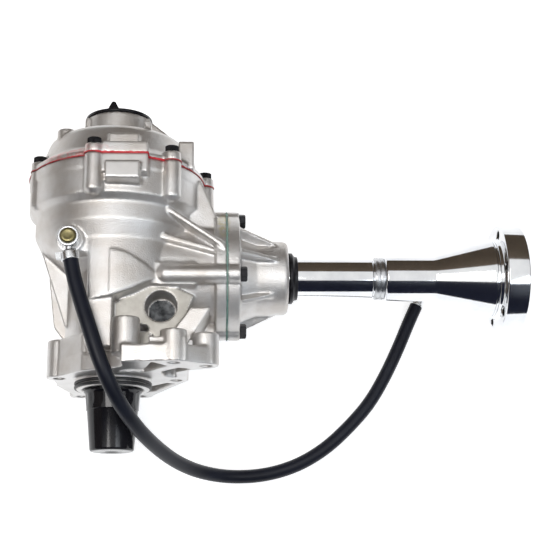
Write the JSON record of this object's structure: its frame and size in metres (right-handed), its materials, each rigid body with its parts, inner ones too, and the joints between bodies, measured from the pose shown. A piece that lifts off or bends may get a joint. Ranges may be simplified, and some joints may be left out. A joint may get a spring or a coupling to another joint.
{
  "type": "transfer case",
  "caption": "Angle transfer case: hollow input shaft, meshing bevel pair on tapered bearings, cast housing with cover and nose, output flange shaft, breather hose and shipping caps.",
  "frame": {"origin": "the input axis where it crosses the mounting face", "axes": "+Y along the input axis into the unit, towards the side cover; +X along the output shaft, towards its flange; +Z towards the side with the port and the breather"},
  "size_m": [0.4564, 0.3474, 0.195],
  "materials": {
    "main_case": "cast, fine grain, pale",
    "side_cover": "cast, fine grain, pale",
    "extension_housing": "cast, fine grain, pale",
    "cover_sealant": "cured red bead",
    "cover_bolts": "black oxide",
    "nose_gasket": "thin grey-green gasket",
    "extension_bolts": "black oxide",
    "input_seal": "satin",
    "cover_seal": "satin",
    "output_seal": "satin",
    "spigot_seal_rings": "satin",
    "ring_gear": "ground teeth",
    "pinion_shaft": "ground teeth",
    "input_shaft": "turned",
    "ring_gear_bolts": "black oxide",
    "crush_spacer": "rolled",
    "output_shaft": "polished",
    "dust_slinger": "dark",
    "retaining_ring": "turned",
    "companion_flange": "polished",
    "pinion_nut": "turned",
    "drain_and_fill_plugs": "plated",
    "plug_washers": "soft copper",
    "dowel_pins": "ground",
    "breather_hose": "satin",
    "breather_fitting": "zinc plated",
    "breather_bolt": "yellow zinc",
    "hose_clamp": "zinc plated",
    "breather_end": "plated",
    "input_cap": "glossy",
    "cover_plug": "glossy",
    "lower_bearing_cup": "ground",
    "lower_bearing_cone": "ground",
    "lower_bearing_rollers": "ground",
    "upper_bearing_cup": "ground",
    "upper_bearing_cone": "ground",
    "upper_bearing_rollers": "ground",
    "head_bearing_cup": "ground",
    "head_bearing_cone": "ground",
    "head_bearing_rollers": "ground",
    "tail_bearing_cup": "ground",
    "tail_bearing_cone": "ground",
    "tail_bearing_rollers": "ground"
  },
  "bodies": {
    "case": {"main_case": "main_case", "side_cover": "side_cover", "cover_sealant": "cover_sealant", "cover_bolts": "cover_bolts", "extension_housing": "extension_housing", "nose_gasket": "nose_gasket", "extension_bolts": "extension_bolts", "input_seal": "input_seal", "cover_seal": "cover_seal", "output_seal": "output_seal", "spigot_seal_rings": "spigot_seal_rings", "lower_bearing_cup": "lower_bearing_cup", "upper_bearing_cup": "upper_bearing_cup", "head_bearing_cup": "head_bearing_cup", "tail_bearing_cup": "tail_bearing_cup", "drain_and_fill_plugs": "drain_and_fill_plugs", "plug_washers": "plug_washers", "dowel_pins": "dowel_pins", "breather_hose": "breather_hose", "breather_fitting": "breather_fitting", "breather_bolt": "breather_bolt", "hose_clamp": "hose_clamp", "breather_end": "breather_end"},
    "input_line": {"input_shaft": "input_shaft", "ring_gear": "ring_gear", "ring_gear_bolts": "ring_gear_bolts", "lower_bearing_cone": "lower_bearing_cone", "lower_bearing_rollers": "lower_bearing_rollers", "upper_bearing_cone": "upper_bearing_cone", "upper_bearing_rollers": "upper_bearing_rollers"},
    "output_line": {"pinion_shaft": "pinion_shaft", "head_bearing_cone": "head_bearing_cone", "head_bearing_rollers": "head_bearing_rollers", "tail_bearing_cone": "tail_bearing_cone", "tail_bearing_rollers": "tail_bearing_rollers", "crush_spacer": "crush_spacer", "output_shaft": "output_shaft", "dust_slinger": "dust_slinger", "retaining_ring": "retaining_ring", "companion_flange": "companion_flange", "pinion_nut": "pinion_nut"},
    "input_cap": {"input_cap": "input_cap"},
    "cover_plug": {"cover_plug": "cover_plug"}
  },
  "joints": [
    {"name": "input_spin", "type": "hinge", "parent": "case", "child": "input_line", "pos_m": [0, 0.095, 0], "axis": [0, 1, 0], "continuous": true},
    {"name": "output_spin", "type": "hinge", "parent": "case", "child": "output_line", "pos_m": [0.1, 0.095, 0], "axis": [1, 0, 0], "continuous": true},
    {"name": "cap_pull", "type": "slide", "parent": "case", "child": "input_cap", "axis": [0, -1, 0], "range_m": [0, 0.08]},
    {"name": "plug_pull", "type": "slide", "parent": "case", "child": "cover_plug", "axis": [0, 1, 0], "range_m": [0, 0.03]}
  ],
  "couplings": [
    {"joint": "output_spin", "follows": "input_spin", "ratio": -2.1765}
  ]
}
